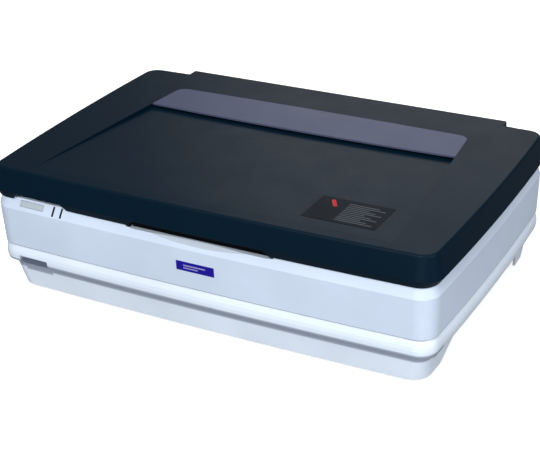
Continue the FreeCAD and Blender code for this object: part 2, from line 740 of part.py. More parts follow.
def scoop():
    """Hollow in the housing's front edge under the finger grip: a flat floor and a wide round cut that slopes up."""
    x0, x1 = GRIP_CUT
    top = BODY_TOP_Z + 1
    profile = [
        (x0 - SCOOP_END, top),
        (x0 - SCOOP_END, SCOOP_FLOOR_Z + SCOOP_END_RISE),
        (x0, SCOOP_FLOOR_Z),
        (x1, SCOOP_FLOOR_Z),
        (x1 + SCOOP_END, SCOOP_FLOOR_Z + SCOOP_END_RISE),
        (x1 + SCOOP_END, top),
    ]
    pocket = prism_y(profile, FRONT_Y - 10, FRONT_Y + SCOOP_BACK_INSET)
    slope = math.radians(SCOOP_SLOPE)
    radius = bow_radius((x1 - x0) / 2, (SCOOP_FLOOR_Z - SCOOP_LOW_Z) * math.cos(slope))
    along = Vector(0, math.cos(slope), math.sin(slope))
    across = Vector(0, -math.sin(slope), math.cos(slope))
    lip = Vector((x0 + x1) / 2, FRONT_Y + BAND_INSET, SCOOP_LOW_Z)
    start = lip + across * radius - along * SCOOP_CUTTER_L / 2
    cutter = Part.makeCylinder(radius, SCOOP_CUTTER_L, start, along)
    reach = box(x0, x1, FRONT_Y - 10, FRONT_Y + RIB_INSET, SCOOP_LOW_Z - 1, SCOOP_FLOOR_Z + 1)
    return pocket.fuse(cutter.common(reach))


def upper_housing():
    outer = upper_outer()
    backing_rear = FRONT_Y + SCOOP_BACK_INSET + WALL
    backing = box(GRIP_CUT[0] - 12, GRIP_CUT[1] + 12, FRONT_Y, backing_rear, SCOOP_LOW_Z - WALL, BODY_TOP_Z)
    shell = outer.cut(upper_cavity()).fuse(backing.common(outer))
    bosses = [rod_z(TUB_FLOOR_Z, BODY_TOP_Z - 1, x, y, BOSS_R) for x, y in HOUSING_SCREWS]
    shell = shell.fuse(bosses)
    cuts = [rect_prism(FRAME_TOP, BODY_TOP_Z - TOP_PLATE - 1, BODY_TOP_Z + 1), scoop()]
    cuts.append(start_button_shape(BUTTON_GAP, WALL + 4, 3.0))
    cuts += [light_shape(x) for x in LIGHT_XS]
    cuts.append(badge_shape())
    cuts += [rod_z(TUB_FLOOR_Z - 1, TUB_FLOOR_Z + 12, x, y, SCREW_R) for x, y in HOUSING_SCREWS]
    cuts.append(rod_y(LID_REAR_Y - 20, REAR_Y, LOCK_X, LOCK_Z, LOCK_SHAFT_R + 0.3))
    return shell.cut(cuts)


def platen_frame():
    """Rim round the glass: its flange lies under the housing's top and the glass is bonded beneath it."""
    low = GLASS_TOP_Z - GLASS_T
    seat = BODY_TOP_Z - TOP_PLATE
    rim = rect_prism(FRAME_TOP, low, BODY_TOP_Z).fuse(rect_prism(FRAME_TOP, low, seat, FRAME_FLANGE))
    return rim.cut([rect_prism(GLASS, low - 1, GLASS_TOP_Z), rect_prism(OPENING, low, BODY_TOP_Z + 1)])


def platen_glass():
    return rect_prism(GLASS, GLASS_TOP_Z - GLASS_T, GLASS_TOP_Z)


def calibration_strip():
    low = GLASS_TOP_Z - GLASS_T
    return box(SCAN_X - 10, SCAN_X + 10, OPENING[2], OPENING[3], low - 0.5, low)


def foot(x, y):
    pad = rod_z(0, FOOT_H, x, y, FOOT_R)
    rim = [edge for edge in pad.Edges if edge.BoundBox.ZMax < 0.01]
    return pad.makeFillet(1.0, rim)


def power_button():
    face = front_y(sum(POWER_X) / 2, POWER_FACE_INSET)
    block = box(*POWER_X, face, face + POWER_POCKET - POWER_TRAVEL - BUTTON_GAP, *POWER_Z)
    return block.makeFillet(0.8, [edge for edge in block.Edges if edge.CenterOfMass.y < face + 0.1])


def housing_screws():
    return Part.makeCompound([screw(x, y, TUB_BOTTOM_Z, 2.5, TUB_FLOOR_Z + 12) for x, y in HOUSING_SCREWS])


def transport_lock_knob():
    """Coin-slot knob on the rear wall, with a shaft and an offset tab that holds the carriage at home."""
    wall = LID_REAR_Y - BAND_INSET - REAR_BOW * (LOCK_X / HALF_W) ** 2
    knob = rod_y(wall + 0.6, wall + 7, LOCK_X, LOCK_Z, 11.0)
    shaft = rod_y(wall - 11, wall + 1, LOCK_X, LOCK_Z, LOCK_SHAFT_R)
    tab = box(LOCK_X - 4, LOCK_X + 4, wall - 11, wall - 7, LOCK_Z, LOCK_Z + 9)
    slot = box(LOCK_X - 8, LOCK_X + 8, wall + 5, wall + 8, LOCK_Z - 1, LOCK_Z + 1)
    return union([knob, shaft, tab]).cut(slot)


# Guides and drive


def guide_rod():
    return rod_x(*ROD_X, ROD_Y, ROD_Z, ROD_R)


def rod_clamps():
    blocks = []
    for x0, x1 in ((ROD_X[0] - 2, ROD_X[0] + 7), (ROD_X[1] - 6, ROD_X[1] + 3)):
        block = box(x0, x1, ROD_Y - 8, ROD_Y + 8, TUB_FLOOR_Z, ROD_Z + 8)
        blocks.append(block.cut(guide_rod()))
    return Part.makeCompound(blocks)


def support_rail():
    web = box(*RAIL_X, RAIL_Y[0], RAIL_Y[0] + SHEET, TUB_FLOOR_Z, RAIL_TOP_Z)
    top = box(*RAIL_X, *RAIL_Y, RAIL_TOP_Z - SHEET, RAIL_TOP_Z)
    base = box(*RAIL_X, *RAIL_Y, TUB_FLOOR_Z, TUB_FLOOR_Z + SHEET)
    return union([web, top, base])


def stadium(radius, y0, y1):
    """Slot-shaped slab that runs round the two belt pulleys."""
    middle = box(IDLER_X, DRIVE_X, y0, y1, ROD_Z - radius, ROD_Z + radius)
    ends = [rod_y(y0, y1, x, ROD_Z, radius) for x in (IDLER_X, DRIVE_X)]
    return union([middle] + ends).removeSplitter()


def timing_belt():
    return stadium(BELT_R + BELT_T, *BELT_Y).cut(stadium(BELT_R, BELT_Y[0] - 1, BELT_Y[1] + 1))


def gear_wheel(teeth, y0, y1, x, z, phase):
    """Spur wheel of straight-flanked teeth, thinned for backlash; phase is in tooth pitches."""
    pitch_r = MODULE * teeth / 2
    root_r = pitch_r - 1.15 * MODULE
    tip_r = pitch_r + 0.8 * MODULE
    step = 2 * math.pi / teeth
    points = []
    for k in range(teeth):
        middle = (k + phase) * step
        for radius, half in ((root_r, 0.27), (tip_r, 0.10), (tip_r, -0.10), (root_r, -0.27)):
            angle = middle - half * step
            points.append(Vector(x + radius * math.sin(angle), y0, z + radius * math.cos(angle)))
    return Part.Face(Part.makePolygon(points + points[:1])).extrude(Vector(0, y1 - y0, 0))


def belt_pulley(x):
    y0, y1 = BELT_Y
    barrel = rod_y(y0 - 1.5, y1 + 1.5, x, ROD_Z, PULLEY_R)
    flanges = [rod_y(a, b, x, ROD_Z, PULLEY_FLANGE_R) for a, b in ((y0 - 1.5, y0 - 0.5), (y1 + 0.5, y1 + 1.5))]
    return union([barrel] + flanges)


def drive_gear():
    wheel = gear_wheel(GEAR_TEETH, *GEAR_Y, DRIVE_X, ROD_Z, 0.0)
    hub = rod_y(GEAR_Y[0], BELT_Y[0], DRIVE_X, ROD_Z, 6.0)
    bore = rod_y(GEAR_Y[0] - 1, BELT_Y[1] + 5, DRIVE_X, ROD_Z, STUB_R + PIN_CLEARANCE)
    return union([wheel, hub, belt_pulley(DRIVE_X)]).cut(bore)


def pinion_z():
    return ROD_Z + MODULE * (GEAR_TEETH + PINION_TEETH) / 2


def motor_pinion():
    wheel = gear_wheel(PINION_TEETH, *GEAR_Y, DRIVE_X, pinion_z(), 0.5)
    shaft = rod_y(MOTOR_Y[0] + 5, GEAR_Y[1] + 1, DRIVE_X, pinion_z(), STUB_R)
    return wheel.fuse(shaft)


def idler_pulley():
    bore = rod_y(BELT_Y[0] - 5, BELT_Y[1] + 5, IDLER_X, ROD_Z, STUB_R + PIN_CLEARANCE)
    return belt_pulley(IDLER_X).cut(bore)


def stepper_motor():
    half = MOTOR_SIDE / 2
    z = pinion_z()
    can = box(DRIVE_X - half, DRIVE_X + half, MOTOR_Y[0], MOTOR_Y[1], z - half, z + half)
    upright = [edge for edge in can.Edges if edge.BoundBox.YLength > 10]
    can = can.makeChamfer(5.0, upright)
    nose = rod_y(MOTOR_Y[1], MOTOR_Y[1] + 2, DRIVE_X, z, 11.0)
    bore = rod_y(MOTOR_Y[0] + 4, MOTOR_Y[1] + 3, DRIVE_X, z, STUB_R + PIN_CLEARANCE)
    return can.fuse(nose).cut(bore)


def motor_bracket():
    left = DRIVE_X - MOTOR_SIDE / 2 - 2
    plate_z = ROD_Z - 8
    plate = box(left, DRIVE_X + 20, MOTOR_Y[1], MOTOR_Y[1] + BRACKET_T, plate_z, pinion_z() + 22)
    leg = box(left, DRIVE_X + 4, MOTOR_Y[1], MOTOR_Y[1] + BRACKET_T, TUB_FLOOR_Z, plate_z + 1)
    base = box(left, DRIVE_X - 4, MOTOR_Y[1], MOTOR_Y[1] + 14, TUB_FLOOR_Z, TUB_FLOOR_Z + 2)
    stub = rod_y(MOTOR_Y[1], BELT_Y[1] + 2, DRIVE_X, ROD_Z, STUB_R)
    nose = rod_y(MOTOR_Y[1] - 1, MOTOR_Y[1] + 5, DRIVE_X, pinion_z(), 11.0)
    return union([plate.cut(nose), leg, base, stub])


def idler_bracket():
    y0 = BLOCK_Y[1] + 1.0
    plate = box(IDLER_X - 7, IDLER_X + 7, y0, y0 + BRACKET_T, TUB_FLOOR_Z, ROD_Z + 10)
    stub = rod_y(y0, BELT_Y[1] + 2, IDLER_X, ROD_Z, STUB_R)
    return plate.fuse(stub)


# Carriage


def rod_bushings():
    rings = []
    for x0 in (CARRIAGE_X[0], CARRIAGE_X[1] - BUSH_L):
        ring = rod_x(x0, x0 + BUSH_L, ROD_Y, ROD_Z, BUSH_R)
        rings.append(ring.cut(rod_x(x0 - 1, x0 + BUSH_L + 1, ROD_Y, ROD_Z, ROD_R + PIN_CLEARANCE)))
    return Part.makeCompound(rings)


def carriage_housing():
    x0, x1 = CARRIAGE_X
    y0, y1 = CARRIAGE_Y
    z0, z1 = CARRIAGE_Z
    t = CARRIAGE_WALL
    shell = box(x0, x1, y0, y1, z0, z1).cut(box(x0 + t, x1 - t, y0 + t, y1 - t, z0 + t, z1 - t))
    block = box(x0, x1, *BLOCK_Y, *BLOCK_Z)
    shell = shell.fuse(block)
    window = box(SCAN_X - 14, SCAN_X + 8, OPENING[2] - 2, OPENING[3] + 2, z1 - t - 1, z1 + 1)
    tunnel = rod_x(x0 - 1, x1 + 1, ROD_Y, ROD_Z, ROD_R + 1.5)
    seats = [rod_x(a, a + BUSH_L, ROD_Y, ROD_Z, BUSH_R) for a in (x0, x1 - BUSH_L)]
    return shell.cut([window, tunnel] + seats)


def belt_clamp():
    """C-shaped jaw on the carriage's rod block that takes the belt's upper run."""
    middle = sum(CARRIAGE_X) / 2
    belt_z = ROD_Z + BELT_R
    body = box(middle - 15, middle + 15, BLOCK_Y[1], BELT_Y[1] + 2.5, belt_z - 5, belt_z + BELT_T + 5)
    throat = box(middle - 16, middle + 16, BELT_Y[0] - 0.5, BELT_Y[1] + 5, belt_z - 0.5, belt_z + BELT_T + 0.5)
    return body.cut(throat)


def glide_pad():
    x0, x1 = CARRIAGE_X
    y0 = CARRIAGE_Y[0] + 1
    return Part.makeCompound([box(x, x + 16, y0, y0 + 6, RAIL_TOP_Z + 0.1, CARRIAGE_Z[0]) for x in (x0 + 4, x1 - 20)])


def lamp():
    tube = rod_y(CARRIAGE_Y[0] + 6, CARRIAGE_Y[1] - 6, SCAN_X - 8, CARRIAGE_Z[1] - 6, 1.6)
    ends = []
    for y0 in (CARRIAGE_Y[0] + CARRIAGE_WALL, CARRIAGE_Y[1] - 6):
        ends.append(rod_y(y0, y0 + 3.5, SCAN_X - 8, CARRIAGE_Z[1] - 6, 2.2))
    return union([tube] + ends)


def lamp_reflector():
    """Half-round trough behind the lamp."""
    y0, y1 = CARRIAGE_Y[0] + 7, CARRIAGE_Y[1] - 7
    x, z = SCAN_X - 8, CARRIAGE_Z[1] - 6.5
    ring = rod_y(y0, y1, x, z, 3.9).cut(rod_y(y0 - 1, y1 + 1, x, z, 3.2))
    keep = prism_y([(x - 5, z - 5), (x + 3, z - 5), (x - 3, z + 3.8), (x - 5, z + 3.8)], y0, y1)
    return ring.common(keep)


def mirror(x, z, height, tilt):
    plate = box(-1, 1, CARRIAGE_Y[0] + 8, CARRIAGE_Y[1] - 8, -height / 2, height / 2)
    return placed(plate, Placement(Vector(x, 0, z), Rotation(Vector(0, 1, 0), tilt)))


def mirrors():
    layout = ((SCAN_X, 72.0, 20.0, 45.0), (-212.0, 112.0, 18.0, -20.0), (-283.0, 116.0, 16.0, 12.0))
    return Part.makeCompound([mirror(*m) for m in layout])


def lens_barrel():
    middle_y = (OPENING[2] + OPENING[3]) / 2
    barrel = rod_x(-277.0, -252.0, middle_y, 88.0, 12.0)
    mouth = rod_x(-255.0, -251.0, middle_y, 88.0, 9.0)
    ring = rod_x(-270.0, -266.0, middle_y, 88.0, 13.5)
    return barrel.fuse(ring).cut(mouth)


def sensor_board():
    middle_y = (OPENING[2] + OPENING[3]) / 2
    board = box(-285.0, -283.4, middle_y - 50, middle_y + 50, 66.0, 104.0)
    chip = box(-283.4, -280.0, middle_y - 35, middle_y + 35, 84.0, 92.0)
    return board.fuse(chip)


# Electronics and sockets


def panel_board():
    board_y = FRONT_Y + PANEL_BOARD_INSET
    board = box(START_X[0] - 9, LIGHT_XS[1] + 8, board_y, board_y + BOARD_T, *PANEL_BOARD_Z)
    switch = box(-258.0, -246.0, board_y - 2.0, board_y, 118.0, 128.0)
    return board.fuse(switch)


def main_board():
    board = box(*BOARD_X, *BOARD_Y, BOARD_Z, BOARD_Z + BOARD_T)
    top = BOARD_Z + BOARD_T
    squares = ((-110.0, 20.0, 32.0), (-40.0, 40.0, 24.0), (20.0, 10.0, 28.0), (30.0, 70.0, 18.0))
    chips = [box(x, x + w, y, y + w, top, top + 2.5) for x, y, w in squares]
    cans = [rod_z(top, top + 6, x, 110.0, 4.0) for x in (-20.0, 0.0, 20.0, 40.0, 60.0)]
    return union([board] + chips + cans)


def power_supply():
    x0, x1, y0, y1, z0, z1 = SUPPLY
    case = box(*SUPPLY)
    vents = [box(x0 - 1, x0 + 2, y, y + 4, z0 + 14, z1 - 8) for y in range(int(y0) + 20, int(y1) - 20, 14)]
    stands = [box(x0, x0 + 8, y, y + 8, TUB_FLOOR_Z, z0) for y in (y0, y1 - 8)]
    return union([case] + stands).cut(vents)


def rear_io_panel():
    plate = box(IO_X[0], IO_X[1], IO_Y - 0.1, IO_Y + 1.1, IO_Z[0], IO_Z[1])
    return plate.cut([usb_body(0.2)] + [firewire_body(x, 0.2) for x in FIREWIRE_XS])


def usb_body(grow=0.0):
    z0 = BOARD_Z + BOARD_T + 1.5
    return box(USB_X - 6.2 - grow, USB_X + 6.2 + grow, IO_Y - 16, SOCKET_REAR_Y, z0 - grow, z0 + 11.2 + grow)


def usb_port():
    z0 = BOARD_Z + BOARD_T + 1.5
    cavity = box(USB_X - 4.6, USB_X + 4.6, SOCKET_REAR_Y - 9, SOCKET_REAR_Y + 1, z0 + 1.4, z0 + 9.8)
    block = box(USB_X - 2.8, USB_X + 2.8, SOCKET_REAR_Y - 9, SOCKET_REAR_Y - 1, z0 + 1.4, z0 + 4.4)
    return usb_body().cut(cavity).fuse(block)


def firewire_body(x, grow=0.0):
    z0 = BOARD_Z + BOARD_T + 1.5
    return box(x - 4.4 - grow, x + 4.4 + grow, IO_Y - 16, SOCKET_REAR_Y, z0 - grow, z0 + 13.0 + grow)


def firewire_ports():
    z0 = BOARD_Z + BOARD_T + 1.5
    ports = []
    for x in FIREWIRE_XS:
        cavity = box(x - 2.6, x + 2.6, SOCKET_REAR_Y - 9, SOCKET_REAR_Y + 1, z0 + 0.9, z0 + 12.1)
        block = box(x - 1.0, x + 1.0, SOCKET_REAR_Y - 9, SOCKET_REAR_Y - 1, z0 + 3.0, z0 + 10.0)
        ports.append(firewire_body(x).cut(cavity).fuse(block))
    return Part.makeCompound(ports)


def power_inlet():
    """Three-pin appliance inlet with a flange behind the rear wall."""
    rear = LID_REAR_Y - SHOULDER_INSET - 1.5
    face = box(INLET_X - 15.9, INLET_X + 15.9, rear - 20, rear, INLET_Z - 10.9, INLET_Z + 10.9)
    socket = box(INLET_X - 12.2, INLET_X + 12.2, rear - 16, rear + 1, INLET_Z - 8.2, INLET_Z + 8.2)
    pins = []
    for dx, dz in ((-7.0, -1.5), (0.0, 2.5), (7.0, -1.5)):
        pins.append(box(INLET_X + dx - 1, INLET_X + dx + 1, rear - 17, rear - 4, INLET_Z + dz - 2, INLET_Z + dz + 2))
    return union([face.cut(socket)] + pins)


PIECES = {
    "lid_shell": lid_shell,
    "lid_accent_plate": lid_accent_plate,
    "lid_label": lid_label,
    "lid_inner_tray": lid_inner_tray,
    "lid_foam_pad": lid_foam_pad,
    "document_mat": document_mat,
    "lid_bumpers": lid_bumpers,
    "lid_screws": lid_screws,
    "upper_housing": upper_housing,
    "lower_housing": lower_housing,
    "platen_frame": platen_frame,
    "platen_glass": platen_glass,
    "calibration_strip": calibration_strip,
    "badge_plate": badge_shape,
    "start_button": start_button_shape,
    "power_button": power_button,
    "housing_screws": housing_screws,
    "transport_lock_knob": transport_lock_knob,
    "guide_rod": guide_rod,
    "rod_clamps": rod_clamps,
    "support_rail": support_rail,
    "timing_belt": timing_belt,
    "drive_gear": drive_gear,
    "motor_pinion": motor_pinion,
    "idler_pulley": idler_pulley,
    "stepper_motor": stepper_motor,
    "motor_bracket": motor_bracket,
    "idler_bracket": idler_bracket,
    "carriage_housing": carriage_housing,
    "rod_bushings": rod_bushings,
    "belt_clamp": belt_clamp,
    "glide_pads": glide_pad,
    "lamp": lamp,
    "lamp_reflector": lamp_reflector,
    "scan_mirrors": mirrors,
    "lens_barrel": lens_barrel,
    "sensor_board": sensor_board,
    "panel_board": panel_board,
    "main_board": main_board,
    "power_supply": power_supply,
    "rear_io_panel": rear_io_panel,
    "usb_port": usb_port,
    "firewire_ports": firewire_ports,
    "power_inlet": power_inlet,
}

for piece_name, make in PIECES.items():
    save(piece_name, make())

for light_name, light_x in zip(("ready_light_lens", "error_light_lens"), LIGHT_XS):
    save(light_name, light_shape(light_x))

for side_name, hinge_x in zip(HINGE_SIDES, HINGE_XS):
    save(side_name + "_hinge_post", hinge_post(hinge_x))
    save(side_name + "_hinge_pin", hinge_pin(hinge_x))
    save(side_name + "_hinge_guide", hinge_guide(hinge_x))
    save(side_name + "_lid_hinge_bracket", lid_hinge_bracket(hinge_x))

for side_name, foot_x in zip(HINGE_SIDES, (-FOOT_X, FOOT_X)):
    for end_name, foot_y in zip(("front", "rear"), FOOT_YS):
        save(end_name + "_" + side_name + "_foot", foot(foot_x, foot_y))
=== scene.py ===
"""Large-format flatbed scanner: materials, soft pad, small surface pieces, studio light and camera."""

import json
import math

import bpy
from mathutils import Matrix, Vector


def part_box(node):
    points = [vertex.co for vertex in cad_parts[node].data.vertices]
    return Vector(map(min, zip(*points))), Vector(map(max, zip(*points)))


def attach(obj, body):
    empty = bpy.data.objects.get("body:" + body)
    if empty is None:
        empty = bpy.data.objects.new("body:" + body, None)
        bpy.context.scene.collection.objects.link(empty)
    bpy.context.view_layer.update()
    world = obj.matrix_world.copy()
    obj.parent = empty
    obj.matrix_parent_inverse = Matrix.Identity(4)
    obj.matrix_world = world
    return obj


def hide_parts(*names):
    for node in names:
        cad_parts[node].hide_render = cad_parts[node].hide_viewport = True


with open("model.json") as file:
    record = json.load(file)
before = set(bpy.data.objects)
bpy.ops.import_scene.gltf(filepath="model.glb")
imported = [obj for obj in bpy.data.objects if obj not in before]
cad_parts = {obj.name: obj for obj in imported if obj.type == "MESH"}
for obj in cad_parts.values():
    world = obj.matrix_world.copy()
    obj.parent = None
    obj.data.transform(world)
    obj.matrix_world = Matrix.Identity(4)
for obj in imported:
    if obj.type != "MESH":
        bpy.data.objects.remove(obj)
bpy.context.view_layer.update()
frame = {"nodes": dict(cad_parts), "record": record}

NODES = frame["nodes"]
MM = 0.001

# Camera: the viewing angle, and how far it stands from a point above the middle of the base
CAMERA_AZIMUTH = 28.77
CAMERA_ELEVATION = 26.5
CAMERA_ROLL = -2.03
CAMERA_DISTANCE = 1.9144
CAMERA_TARGET = Vector((0.0, 0.0, 0.08))
CAMERA_LENS = 91.75
CAMERA_SENSOR = 36.0
CAMERA_REACH = 100.0
CAMERA_SHIFT = (-0.0182, -0.0224)

# Soft studio lights: name, place, aim, width and height, power in watts
SOFTBOXES = (
    ("key", (0.2, -2.5, 1.9), (0, 0, 0.1), (1.8, 1.4), 75),
    ("fill", (2.6, -0.6, 1.3), (0, 0, 0.1), (1.6, 1.6), 40),
    ("low", (1.0, -2.5, 0.35), (0, 0, 0.05), (2.0, 0.5), 10),
    ("top", (0.0, 0.2, 2.6), (0, 0, 0.1), (2.6, 2.0), 24),
    ("rear", (-1.1, 3.4, 1.8), (0, 0, 0.1), (1.9, 1.1), 14),
)
SKY_COLOUR = (0.93, 0.96, 1.0, 1)
SKY_STRENGTH = 0.20
FLOOR_GLOW = 0.6
FLOOR_HALF = 15.0

# Base colours, linear
WHITE_PLASTIC = (0.595, 0.69, 0.84, 1)
# Lower housing: a lighter, bluer copy of the white plastic, painted light
LOWER_WHITE_LIT = (0.74, 0.83, 0.95, 1)
CHARCOAL = (0.0008, 0.0085, 0.0185, 1)
LAVENDER = (0.064, 0.074, 0.130, 1)
# Painted shade in the groove and the notch
CREVICE_SHADE = (0.34, 0.39, 0.48, 1)
# Painted shade line where the two halves of the housing meet
PARTING_SHADE = (0.16, 0.18, 0.22, 1)
# Painted deep shade at the two ends of the finger grip
DEEP_SHADE = (0.02, 0.025, 0.03, 1)
# Painted shade on the finger grip's upward-facing floor
SCOOP_FLOOR_SHADE = (0.47, 0.54, 0.62, 1)

# Painted shade on the housing: over the groove above the lower housing's skirt, running onto the skirt's top
# and the belly's lower curve, round the notch of the power button, and along the line where the two halves of
# the housing meet
GROOVE_Z = (34.6 * MM, 53.0 * MM)
GROOVE_DEPTH = 46.0 * MM
NOTCH_MARGIN = 3.5 * MM
HOLLOW_EDGE = 2.0 * MM
BOX_MARGIN = 10.0 * MM
PARTING_Z = (72.0 * MM, 74.0 * MM)
PARTING_EDGE = 0.3 * MM

# Finger grip in the upper housing's edge, where shade is painted: the box of its scoop, the run of its
# darkened ends, and how far a face must face up to get the scoop floor's painted shade
SCOOP_LOW = (-96.0 * MM, -240.0 * MM, 132.0 * MM)
SCOOP_HIGH = (104.0 * MM, -205.0 * MM, 141.6 * MM)
SCOOP_END = 7.0 * MM
SCOOP_TOP_Z = 147.0 * MM
SCOOP_EDGE = 0.5 * MM
SCOOP_FACING = (0.42, 0.58)

# Foam pad: how far each ring of its outline stands in, in millimetres, and at what part of its thickness
PAD_PROFILE = ((2.2, 0.0), (0.9, 0.08), (0.2, 0.25), (0.0, 0.5), (0.2, 0.75), (0.9, 0.92), (2.2, 1.0))
PAD_FACE_RINGS = ((8.0, 0.0), (30.0, 0.012), (80.0, 0.02), (140.0, 0.02))
PAD_CORNER = 9.0 * MM
PAD_CORNER_SHRINK = 0.5
PAD_CORNER_LEAST = 2.0 * MM
PAD_CORNER_STEPS = 8

# Printing: height of a layer of ink; the badge's bars, as left, right, bottom and top in millimetres from its
# middle; the label's bars and slant bar, as parts of its width and depth; the marks along the platen
INK = 0.05 * MM
BADGE_BARS = ((-17.0, 15.0, 0.6, 2.4), (-17.0, 4.0, -3.0, -1.4))
LABEL_FILM = 0.3 * MM
LABEL_BAR_COUNT = 11
LABEL_BARS_FROM = 0.42
LABEL_BARS_TO = 0.93
LABEL_BARS_STEP = 0.10
LABEL_BARS_NEAR = 0.10
LABEL_BARS_DEPTH = 0.80
LABEL_BAR_H = 0.026
LABEL_SLANT = ((0.15, 0.88), (0.25, 0.62), (0.30, 0.65), (0.20, 0.91))
PLATEN_OPENING = ((-214.0 * MM, -178.0 * MM), (223.0 * MM, 132.0 * MM))
TICK_PITCH = 5.0 * MM
TICK_W = 0.35 * MM
TICK_LENGTHS = (5.0 * MM, 2.6 * MM)
TICK_GAP = 1.5 * MM


# Camera, light and floor


def make_camera():
    azimuth = math.radians(CAMERA_AZIMUTH)
    elevation = math.radians(CAMERA_ELEVATION)
    roll = math.radians(CAMERA_ROLL)
    back = Vector((
        math.sin(azimuth) * math.cos(elevation),
        -math.cos(azimuth) * math.cos(elevation),
        math.sin(elevation),
    ))
    right = Vector((0, 0, 1)).cross(back).normalized()
    up = back.cross(right)
    tilted_right = right * math.cos(roll) + up * math.sin(roll)
    tilted_up = up * math.cos(roll) - right * math.sin(roll)
    camera = bpy.data.objects.new("camera", bpy.data.cameras.new("camera"))
    bpy.context.scene.collection.objects.link(camera)
    rotation = Matrix((tilted_right, tilted_up, back)).transposed()
    camera.matrix_world = Matrix.Translation(CAMERA_TARGET + back * CAMERA_DISTANCE) @ rotation.to_4x4()
    camera.data.lens = CAMERA_LENS
    camera.data.sensor_width = CAMERA_SENSOR
    camera.data.shift_x, camera.data.shift_y = CAMERA_SHIFT
    camera.data.clip_end = CAMERA_REACH
    bpy.context.scene.camera = camera


def area_light(name, place, aim, size, power, colour=(1, 1, 1)):
    data = bpy.data.lights.new(name, "AREA")
    data.shape = "RECTANGLE"
    data.size, data.size_y = size
    data.energy = power
    data.color = colour
    lamp = bpy.data.objects.new(name, data)
    bpy.context.scene.collection.objects.link(lamp)
    lamp.location = place
    lamp.rotation_euler = (Vector(aim) - Vector(place)).to_track_quat("-Z", "Y").to_euler()


def make_light():
    world = bpy.data.worlds.new("studio")
    bpy.context.scene.world = world
    world.use_nodes = True
    background = world.node_tree.nodes["Background"]
    background.inputs["Color"].default_value = SKY_COLOUR
    background.inputs["Strength"].default_value = SKY_STRENGTH
    for name, place, aim, size, power in SOFTBOXES:
        area_light(name, place, aim, size, power)
    bpy.context.scene.view_settings.view_transform = "Standard"


def make_floor():
    """Pale paper that glows faintly and throws no light back, so that undersides stay in shade."""
    mesh = bpy.data.meshes.new("floor")
    corners = [(x * FLOOR_HALF, y * FLOOR_HALF, 0) for x, y in ((-1, -1), (1, -1), (1, 1), (-1, 1))]
    mesh.from_pydata(corners, [], [(0, 1, 2, 3)])
    floor = bpy.data.objects.new("floor", mesh)
    floor.visible_diffuse = False
    floor.visible_glossy = False
    bpy.context.scene.collection.objects.link(floor)
    material, shader, tree = new_material("floor_paper")
    join(tree, blend_colours(tree, noise(tree, 3.0), (0.91, 0.91, 0.91, 1), (0.93, 0.93, 0.93, 1)),
         shader.inputs["Base Color"])
    shader.inputs["Roughness"].default_value = 0.9
    shader.inputs["Emission Color"].default_value = (1, 1, 1, 1)
    shader.inputs["Emission Strength"].default_value = FLOOR_GLOW
    bump(tree, shader, noise(tree, 900.0, 3.0), 0.02 * MM)
    mesh.materials.append(material)


# Material building


def new_material(name):
    material = bpy.data.materials.new(name)
    material.use_nodes = True
    tree = material.node_tree
    return material, tree.nodes["Principled BSDF"], tree


def join(tree, output, target):
    tree.links.new(output, target)


def object_point(tree):
    return tree.nodes.new("ShaderNodeTexCoord").outputs["Object"]


def noise(tree, scale, detail=2.0, stretch=None):
    """Noise over object space; scale is in features per metre."""
    point = object_point(tree)
    if stretch:
        mapping = tree.nodes.new("ShaderNodeMapping")
        mapping.inputs["Scale"].default_value = stretch
        join(tree, point, mapping.inputs["Vector"])
        point = mapping.outputs["Vector"]
    node = tree.nodes.new("ShaderNodeTexNoise")
    node.inputs["Scale"].default_value = scale
    node.inputs["Detail"].default_value = detail
    join(tree, point, node.inputs["Vector"])
    return node.outputs["Fac"]


def remap(tree, value, low, high, from_low=0.3, from_high=0.7):
    node = tree.nodes.new("ShaderNodeMapRange")
    node.inputs["From Min"].default_value = from_low
    node.inputs["From Max"].default_value = from_high
    node.inputs["To Min"].default_value = low
    node.inputs["To Max"].default_value = high
    join(tree, value, node.inputs["Value"])
    return node.outputs["Result"]


def blend_colours(tree, factor, first, second):
    node = tree.nodes.new("ShaderNodeMix")
    node.data_type = "RGBA"
    join(tree, factor, node.inputs["Factor"])
    for socket, colour in ((node.inputs["A"], first), (node.inputs["B"], second)):
        if isinstance(colour, tuple):
            socket.default_value = colour
        else:
            join(tree, colour, socket)
    return node.outputs["Result"]


def math_node(tree, operation, first, second):
    node = tree.nodes.new("ShaderNodeMath")
    node.operation = operation
    join(tree, first, node.inputs[0])
    join(tree, second, node.inputs[1])
    return node.outputs["Value"]


def box_mask(tree, low, high, edge):
    """1 inside a box of object space and 0 outside, over a soft edge."""
    value = object_point(tree)
    half = [(b - a) / 2 for a, b in zip(low, high)]
    middle = [(a + b) / 2 for a, b in zip(low, high)]
    for operation, vector in (("SUBTRACT", middle), ("ABSOLUTE", None), ("SUBTRACT", half)):
        node = tree.nodes.new("ShaderNodeVectorMath")
        node.operation = operation
        join(tree, value, node.inputs[0])
        if vector:
            node.inputs[1].default_value = vector
        value = node.outputs["Vector"]
    split = tree.nodes.new("ShaderNodeSeparateXYZ")
    join(tree, value, split.inputs["Vector"])
    outside = math_node(tree, "MAXIMUM", split.outputs["X"], split.outputs["Y"])
    outside = math_node(tree, "MAXIMUM", outside, split.outputs["Z"])
    return remap(tree, outside, 1.0, 0.0, -edge, 0.0)


def upward_mask(tree):
    """1 where the surface faces well upwards and 0 where it is steep."""
    split = tree.nodes.new("ShaderNodeSeparateXYZ")
    join(tree, tree.nodes.new("ShaderNodeNewGeometry").outputs["Normal"], split.inputs["Vector"])
    return remap(tree, split.outputs["Z"], 0.0, 1.0, *SCOOP_FACING)


def bump(tree, shader, height, depth):
    """Bump of the given depth in metres."""
    node = tree.nodes.new("ShaderNodeBump")
    node.inputs["Distance"].default_value = depth
    join(tree, height, node.inputs["Height"])
    join(tree, node.outputs["Normal"], shader.inputs["Normal"])


def tint(colour, factor):
    return tuple(min(1.0, c * factor) for c in colour[:3]) + (1,)


